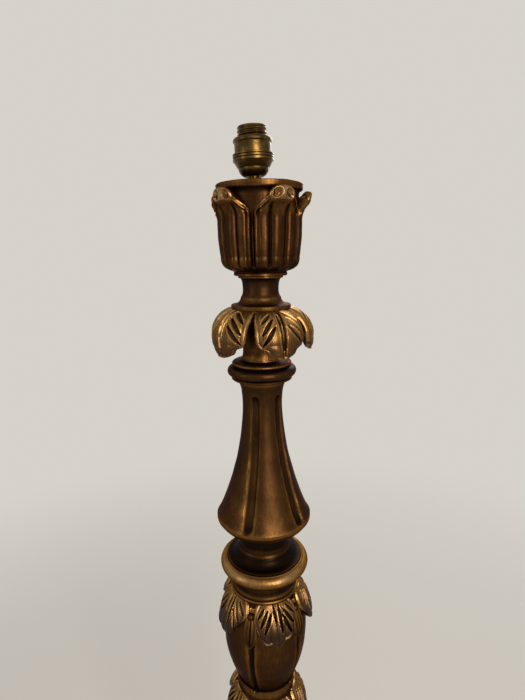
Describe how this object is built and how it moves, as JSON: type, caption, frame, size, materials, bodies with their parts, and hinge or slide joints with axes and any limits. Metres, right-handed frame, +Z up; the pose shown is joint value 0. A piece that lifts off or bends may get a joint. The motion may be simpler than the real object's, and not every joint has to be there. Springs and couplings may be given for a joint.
{
  "type": "candlestick floor lamp",
  "caption": "Turned and carved candlestick floor lamp: stacked leaf collars, fluted trumpet, vase and column on a round footed base, with a brass bulb holder on top.",
  "frame": {"origin": "centre of the three-footed base's footprint, on the floor, under the column's axis", "axes": "+Z up along the column, -Y towards the viewer, cable inlet at the back on +Y"},
  "size_m": [0.31, 0.3098, 1.5006],
  "materials": {
    "bronzed_wood": "turned and carved wood, bronze gilding over a dark ground, rubbed satin",
    "gilded_wood": "carved wood, bronze gilding rubbed bright on the leaves, dark glaze in the cuts",
    "dark_bronzed_wood": "carved wood, dark brown bronze glaze with worn edges",
    "aged_brass": "tarnished spun brass",
    "spring_bronze": "plain phosphor bronze strip",
    "porcelain": "glazed white porcelain",
    "zinc_steel": "zinc plated",
    "cast_iron": "rough sand-cast, black paint",
    "fibreboard": "hardboard, smooth side out",
    "felt": "dark green felt"
  },
  "bodies": {
    "lamp": {"floor_pads": "felt", "bun_feet": "bronzed_wood", "foot_screws": "zinc_steel", "base_plinth": "bronzed_wood", "base_weight": "cast_iron", "weight_screws": "zinc_steel", "base_cover": "fibreboard", "cover_screws": "zinc_steel", "bottom_washer": "zinc_steel", "bottom_nut": "zinc_steel", "cable_bush": "aged_brass", "base_dome": "bronzed_wood", "base_cushion": "bronzed_wood", "lower_trumpet": "bronzed_wood", "lower_rings": "bronzed_wood", "column": "bronzed_wood", "vase": "bronzed_wood", "cushion_ring": "bronzed_wood", "trumpet": "bronzed_wood", "ring_stack": "bronzed_wood", "leaf_collar": "gilded_wood", "neck_spool": "bronzed_wood", "candle_cup": "dark_bronzed_wood", "tie_tube": "zinc_steel", "top_washer": "aged_brass", "knurled_nut": "aged_brass", "holder_cap": "aged_brass", "holder_barrel": "aged_brass", "screw_shell": "aged_brass", "porcelain_core": "porcelain", "contact_foot": "spring_bronze", "terminal_screws": "aged_brass"},
    "centre_contact": {"contact_tongue": "spring_bronze"}
  },
  "joints": [
    {"name": "contact_press", "type": "hinge", "parent": "lamp", "child": "centre_contact", "pos_m": [-0.00896, 0, 1.47183], "axis": [0, 1, 0], "range_deg": [0, 12], "stiffness_Nm_per_rad": 0.1, "springref_deg": -5.73}
  ]
}
